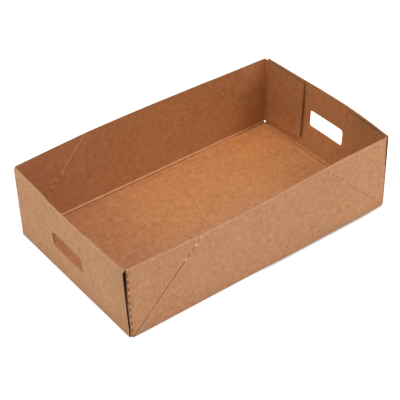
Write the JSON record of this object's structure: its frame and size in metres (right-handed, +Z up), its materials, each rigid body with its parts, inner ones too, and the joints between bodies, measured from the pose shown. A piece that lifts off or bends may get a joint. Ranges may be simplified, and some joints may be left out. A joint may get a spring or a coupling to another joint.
{
  "type": "cardboard tray box",
  "caption": "Open rectangular cardboard tray, folded from a die-cut sheet, with glued corner flaps, creased long walls and a hand hole in each end wall.",
  "frame": {"origin": "under the middle of the floor, on the surface that the tray stands on", "axes": "+X along the tray, from one end wall to the other; +Y across it; +Z up, towards the open top"},
  "size_m": [0.4116, 0.2492, 0.106],
  "materials": {
    "card": "matte brown kraft"
  },
  "bodies": {
    "root": {"folded_tray": "card"}
  },
  "joints": []
}
